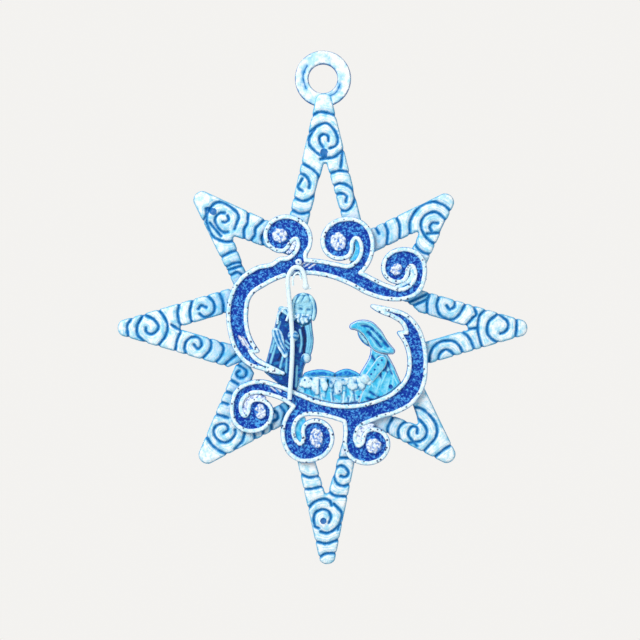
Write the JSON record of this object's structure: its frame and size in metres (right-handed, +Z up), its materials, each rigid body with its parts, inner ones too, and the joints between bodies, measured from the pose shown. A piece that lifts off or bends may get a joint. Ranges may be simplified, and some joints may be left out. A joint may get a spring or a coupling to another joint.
{
  "type": "hanging star ornament",
  "caption": "Openwork painted metal star with forked rays, scroll bands with spiral curls and a small relief scene in its window, hung by a flat ring.",
  "frame": {"origin": "centre of the hanging hole, on the plane of the ornament's back", "axes": "+X to the right as seen from the front, +Y out of the back, +Z up when the ornament hangs; the front looks along -Y"},
  "size_m": [0.0904, 0.0039, 0.1133],
  "materials": {
    "white_paint": "matt white paint over metal, worn, with blue left in grooves and hollows",
    "blue_paint": "matt royal blue paint, speckled lighter",
    "turquoise_paint": "matt turquoise paint wiped thin over white"
  },
  "bodies": {
    "root": {"hanging_ring": "white_paint", "ray_right": "white_paint", "ray_upper_right": "white_paint", "ray_top": "white_paint", "ray_upper_left": "white_paint", "ray_left": "white_paint", "ray_lower_left": "white_paint", "ray_bottom": "white_paint", "ray_lower_right": "white_paint", "upper_scroll_rim": "white_paint", "lower_scroll_rim": "white_paint", "upper_left_button": "white_paint", "upper_middle_button": "white_paint", "upper_right_button": "white_paint", "lower_left_button": "white_paint", "lower_middle_button": "white_paint", "lower_right_button": "white_paint", "man_head": "white_paint", "man_beard": "white_paint", "man_shawl": "white_paint", "man_sleeve": "white_paint", "crib_cloth": "white_paint", "crook_staff": "white_paint", "man_staff_hand": "white_paint", "man_low_hand": "white_paint", "woman_hand": "white_paint", "upper_scroll_plate": "blue_paint", "lower_scroll_plate": "blue_paint", "man_robe": "blue_paint", "child": "blue_paint", "scene_backing": "blue_paint", "crib": "turquoise_paint", "woman_robe": "turquoise_paint", "woman_head": "turquoise_paint", "woman_veil": "turquoise_paint", "woman_sleeve": "turquoise_paint"}
  },
  "joints": []
}
